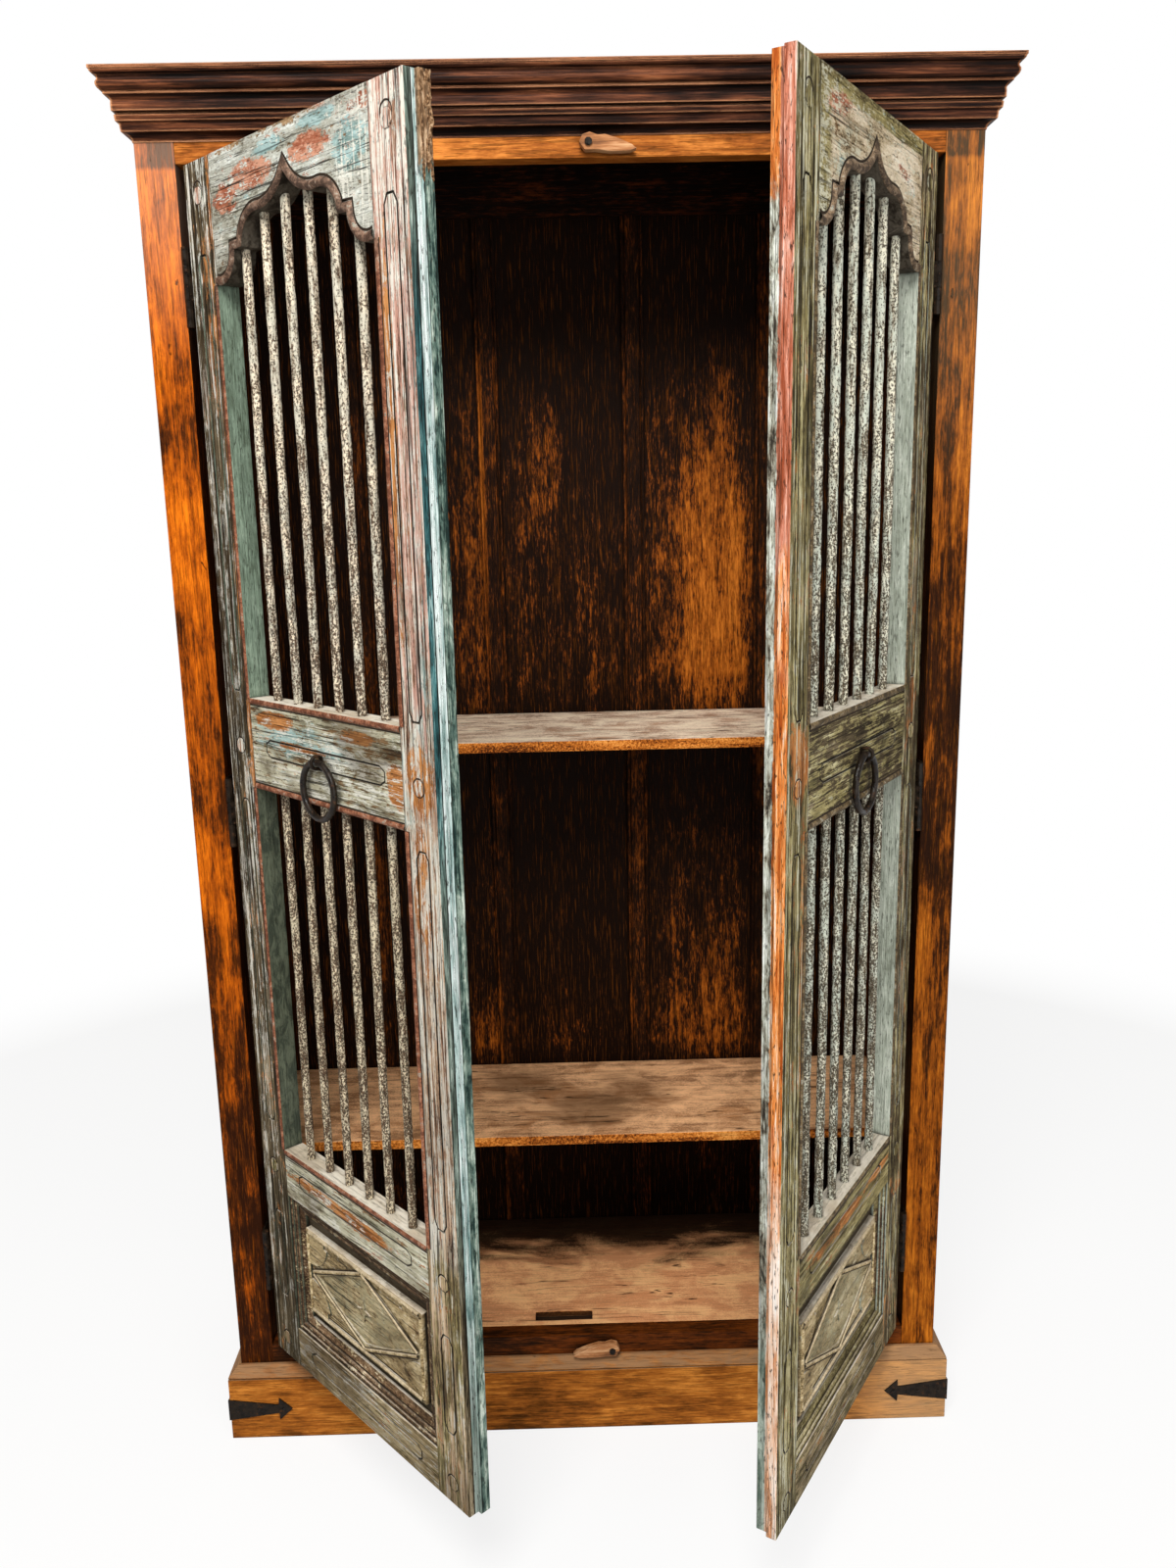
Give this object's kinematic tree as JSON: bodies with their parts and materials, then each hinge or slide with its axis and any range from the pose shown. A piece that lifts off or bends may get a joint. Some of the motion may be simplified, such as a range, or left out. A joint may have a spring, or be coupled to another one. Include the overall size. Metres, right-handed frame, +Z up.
{
  "type": "cabinet",
  "caption": "Tall free-standing cabinet on a plinth under a stepped cornice, with two hinged doors of cusped arches, iron bars and carved panels over an interior with shelves.",
  "frame": {"origin": "on the floor, under the middle of the front plinth board's length and thickness", "axes": "+Z up, +Y from the front to the back, +X to the right of someone who faces the doors"},
  "size_m": [1.176, 0.7999, 1.984],
  "materials": {
    "frame_wood": "worn waxed hardwood, orange brown with dark patches",
    "side_wood": "worn waxed hardwood",
    "cornice_wood": "dark waxed hardwood with rubbed arrises",
    "plinth_wood": "weathered hardwood",
    "back_wood": "dark stained boards with worn patches",
    "shelf_wood": "dusty unfinished boards",
    "left_paint": "old hardwood with layers of flaking blue-green paint",
    "right_paint": "old hardwood with layers of flaking sage paint",
    "bar_iron": "flaking cream-green paint over rust",
    "black_iron": "forged black iron",
    "button_wood": "whittled hardwood"
  },
  "bodies": {
    "carcass": {"back_muntins": "back_wood", "back_panels": "back_wood", "back_rails": "back_wood", "corner_strap_left": "black_iron", "corner_strap_right": "black_iron", "cornice_front": "cornice_wood", "cornice_left": "cornice_wood", "cornice_right": "cornice_wood", "floor_bearers": "shelf_wood", "floor_board": "shelf_wood", "head_rail": "frame_wood", "hinge_pins": "black_iron", "hinge_post_leaves": "black_iron", "left_front_post": "frame_wood", "left_rear_post": "frame_wood", "left_side_panels": "side_wood", "left_side_rails": "side_wood", "lower_shelf": "shelf_wood", "plinth_front": "plinth_wood", "plinth_left": "plinth_wood", "plinth_right": "plinth_wood", "right_front_post": "frame_wood", "right_rear_post": "frame_wood", "right_side_panels": "side_wood", "right_side_rails": "side_wood", "shelf_cleats": "shelf_wood", "sill_rail": "frame_wood", "strap_nails": "black_iron", "top_board": "side_wood", "turn_button_screws": "black_iron", "upper_shelf": "shelf_wood"},
    "left_door": {"left_arch_rail": "left_paint", "left_bottom_rail": "left_paint", "left_carved_panel": "left_paint", "left_door_bars": "bar_iron", "left_hinge_door_leaves": "black_iron", "left_hinge_stile": "left_paint", "left_joint_pegs": "left_paint", "left_lower_rail": "left_paint", "left_meeting_stile": "left_paint", "left_mid_rail": "left_paint", "left_panel_moulding": "left_paint", "left_ring_staple": "black_iron"},
    "right_door": {"right_arch_rail": "right_paint", "right_bottom_rail": "right_paint", "right_carved_panel": "right_paint", "right_door_bars": "bar_iron", "right_hinge_door_leaves": "black_iron", "right_hinge_stile": "right_paint", "right_joint_pegs": "right_paint", "right_lower_rail": "right_paint", "right_meeting_stile": "right_paint", "right_mid_rail": "right_paint", "right_panel_moulding": "right_paint", "right_ring_staple": "black_iron"},
    "left_ring": {"left_ring_pull": "black_iron"},
    "right_ring": {"right_ring_pull": "black_iron"},
    "top_button": {"top_turn_button": "button_wood"},
    "bottom_button": {"bottom_turn_button": "button_wood"}
  },
  "joints": [
    {"name": "left_door_hinge", "type": "hinge", "parent": "carcass", "child": "left_door", "pos_m": [-0.494, 0.005, 1.014], "axis": [0, 0, -1], "range_deg": [-47.9, 122.1]},
    {"name": "right_door_hinge", "type": "hinge", "parent": "carcass", "child": "right_door", "pos_m": [0.494, 0.005, 1.014], "axis": [0, 0, 1], "range_deg": [-58, 112]},
    {"name": "left_ring_swing", "type": "hinge", "parent": "left_door", "child": "left_ring", "pos_m": [-0.32909, -0.18347, 1.12498], "axis": [-0.6704, 0.742, 0], "range_deg": [0, 165]},
    {"name": "right_ring_swing", "type": "hinge", "parent": "right_door", "child": "right_ring", "pos_m": [0.3647, -0.20947, 1.12498], "axis": [-0.5299, -0.848, 0], "range_deg": [0, 165]},
    {"name": "top_button_turn", "type": "hinge", "parent": "carcass", "child": "top_button", "pos_m": [0.034, -0.001, 1.892], "axis": [0, 1, 0], "range_deg": [0, 180]},
    {"name": "bottom_button_turn", "type": "hinge", "parent": "carcass", "child": "bottom_button", "pos_m": [0.038, -0.001, 0.1365], "axis": [0, 1, 0], "range_deg": [0, 180]}
  ]
}
